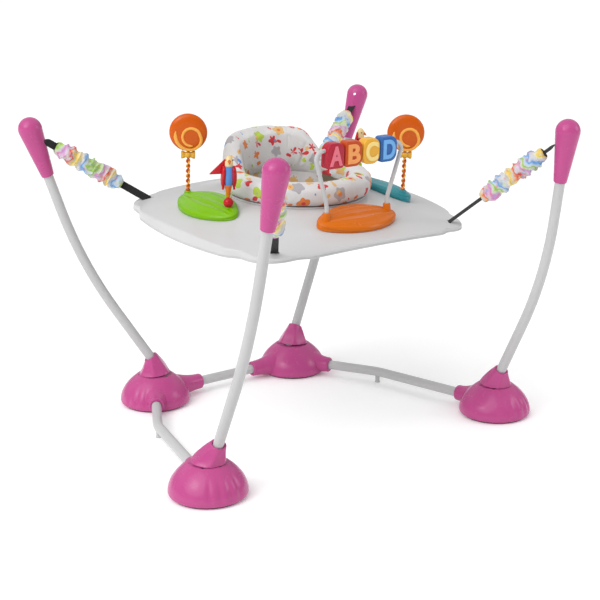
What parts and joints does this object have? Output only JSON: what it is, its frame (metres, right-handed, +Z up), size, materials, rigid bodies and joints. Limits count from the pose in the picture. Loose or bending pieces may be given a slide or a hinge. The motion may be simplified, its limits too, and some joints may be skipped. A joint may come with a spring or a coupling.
{
  "type": "baby jumper frame",
  "caption": "Free-standing baby jumper with bent legs, sprung tray, swivel seat, toy bases, letter beads and lollipop toys.",
  "frame": {"origin": "on the floor under the middle of the frame's outline", "axes": "+Z up, the seated child faces -Y, and the child's left is +X"},
  "size_m": [1.0848, 0.967, 0.8035],
  "materials": {
    "pink_plastic": "glossy moulded",
    "white_tube": "powder coated",
    "rubber": "matt",
    "steel": "plain zinc plated",
    "webbing": "woven webbing",
    "cover_fabric": "gathered printed cotton",
    "white_plastic": "satin moulded",
    "black_plastic": "matt moulded",
    "seat_fabric": "padded printed cotton",
    "orange_plastic": "glossy moulded",
    "green_plastic": "glossy moulded",
    "teal_plastic": "glossy moulded",
    "candy_plastic": "glossy moulded",
    "yellow_plastic": "glossy moulded",
    "red_plastic": "glossy moulded",
    "blue_plastic": "glossy moulded"
  },
  "bodies": {
    "frame": {"foot_front_right": "pink_plastic", "foot_front_left": "pink_plastic", "foot_rear_right": "pink_plastic", "foot_rear_left": "pink_plastic", "cap_front_right": "pink_plastic", "cap_front_left": "pink_plastic", "cap_rear_right": "pink_plastic", "cap_rear_left": "pink_plastic", "leg_front_right": "white_tube", "leg_front_left": "white_tube", "leg_rear_right": "white_tube", "leg_rear_left": "white_tube", "side_tube_right": "white_tube", "side_tube_left": "white_tube", "rear_tube": "white_tube", "foot_pads": "rubber", "cap_screws": "steel", "springs": "steel", "upper_strap_front_right": "webbing", "upper_strap_front_left": "webbing", "upper_strap_rear_right": "webbing", "upper_strap_rear_left": "webbing", "lower_strap_front_right": "webbing", "lower_strap_front_left": "webbing", "lower_strap_rear_right": "webbing", "lower_strap_rear_left": "webbing", "spring_cover_front_right": "cover_fabric", "spring_cover_front_left": "cover_fabric", "spring_cover_rear_right": "cover_fabric", "spring_cover_rear_left": "cover_fabric", "pegs": "white_plastic"},
    "tray": {"tray": "white_plastic", "strap_bars": "black_plastic", "toy_base_front": "orange_plastic", "toy_base_right": "green_plastic", "toy_base_left": "teal_plastic", "bead_rod": "white_plastic"},
    "seat": {"seat_ring": "white_plastic", "seat_retainer": "white_plastic", "seat_pad": "seat_fabric", "seat_sling": "seat_fabric"},
    "lollipop_right": {"lollipop_right": "candy_plastic", "stalk_right": "candy_plastic", "bow_right": "yellow_plastic"},
    "bird_right": {"bird_right": "yellow_plastic", "wings_right": "red_plastic", "perch_right": "red_plastic"},
    "lollipop_left": {"lollipop_left": "candy_plastic", "stalk_left": "candy_plastic", "bow_left": "yellow_plastic"},
    "bird_left": {"bird_left": "yellow_plastic", "wings_left": "red_plastic", "perch_left": "red_plastic"},
    "bead_a": {"bead_a": "red_plastic"},
    "bead_b": {"bead_b": "orange_plastic"},
    "bead_c": {"bead_c": "yellow_plastic"},
    "bead_d": {"bead_d": "blue_plastic"}
  },
  "joints": [
    {"name": "bounce", "type": "slide", "parent": "frame", "child": "tray", "axis": [0, 0, 1], "range_m": [-0.09, 0.03], "stiffness_N_per_m": 1000, "springref_m": 0.02449, "deforming": ["upper_strap_front_right", "upper_strap_front_left", "upper_strap_rear_right", "upper_strap_rear_left", "spring_cover_front_right", "spring_cover_front_left", "spring_cover_rear_right", "spring_cover_rear_left", "lower_strap_front_right", "lower_strap_front_left", "lower_strap_rear_right", "lower_strap_rear_left", "springs"]},
    {"name": "seat_swivel", "type": "hinge", "parent": "tray", "child": "seat", "pos_m": [0, 0.05, 0.56], "axis": [0, -0.0523, 0.9986], "continuous": true},
    {"name": "lollipop_right_spin", "type": "hinge", "parent": "tray", "child": "lollipop_right", "pos_m": [-0.235, 0.17664, 0.58921], "axis": [0, -0.0523, 0.9986], "continuous": true},
    {"name": "bird_right_spin", "type": "hinge", "parent": "tray", "child": "bird_right", "pos_m": [-0.235, -0.00111, 0.5799], "axis": [0, -0.0523, 0.9986], "continuous": true},
    {"name": "lollipop_left_spin", "type": "hinge", "parent": "tray", "child": "lollipop_left", "pos_m": [0.235, -0.07901, 0.57582], "axis": [0, -0.0523, 0.9986], "continuous": true},
    {"name": "bird_left_spin", "type": "hinge", "parent": "tray", "child": "bird_left", "pos_m": [0.235, 0.09875, 0.58513], "axis": [0, -0.0523, 0.9986], "continuous": true},
    {"name": "bead_a_spin", "type": "hinge", "parent": "tray", "child": "bead_a", "pos_m": [-0.078, -0.20009, 0.74623], "axis": [1, 0, 0], "continuous": true},
    {"name": "bead_b_spin", "type": "hinge", "parent": "tray", "child": "bead_b", "pos_m": [-0.026, -0.20009, 0.74623], "axis": [1, 0, 0], "continuous": true},
    {"name": "bead_c_spin", "type": "hinge", "parent": "tray", "child": "bead_c", "pos_m": [0.026, -0.20009, 0.74623], "axis": [1, 0, 0], "continuous": true},
    {"name": "bead_d_spin", "type": "hinge", "parent": "tray", "child": "bead_d", "pos_m": [0.078, -0.20009, 0.74623], "axis": [1, 0, 0], "continuous": true}
  ]
}
